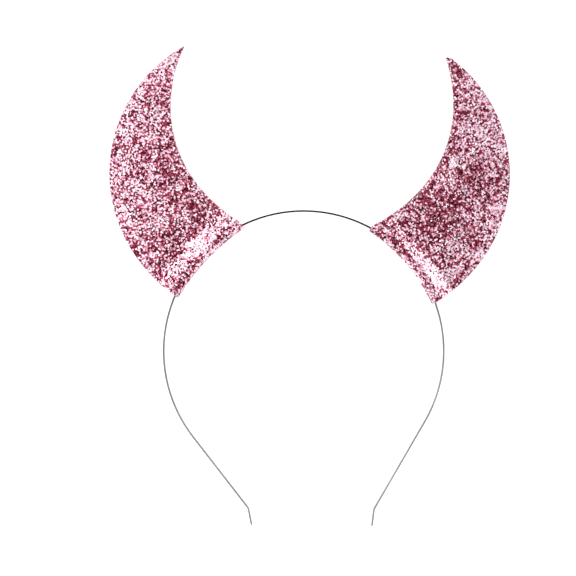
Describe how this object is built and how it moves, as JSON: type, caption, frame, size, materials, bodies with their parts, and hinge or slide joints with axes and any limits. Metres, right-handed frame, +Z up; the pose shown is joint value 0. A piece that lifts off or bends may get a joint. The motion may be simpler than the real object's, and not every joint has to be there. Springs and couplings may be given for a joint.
{
  "type": "devil horns headband",
  "caption": "Thin steel headband with two curved devil horns of pink glitter fabric, lying on its side.",
  "frame": {"origin": "middle of the model's footprint, on the surface it lies on", "axes": "+X across the headband, towards the horn at the right of the front view; +Y from the tips of the legs to the tips of the horns; +Z up, through the width of the steel strip"},
  "size_m": [0.186, 0.2236, 0.0086],
  "materials": {
    "steel": "satin steel strip",
    "pink_glitter": "coarse metallic pink glitter on fabric"
  },
  "bodies": {
    "root": {"band": "steel", "horn_left": "pink_glitter", "horn_right": "pink_glitter"}
  },
  "joints": []
}
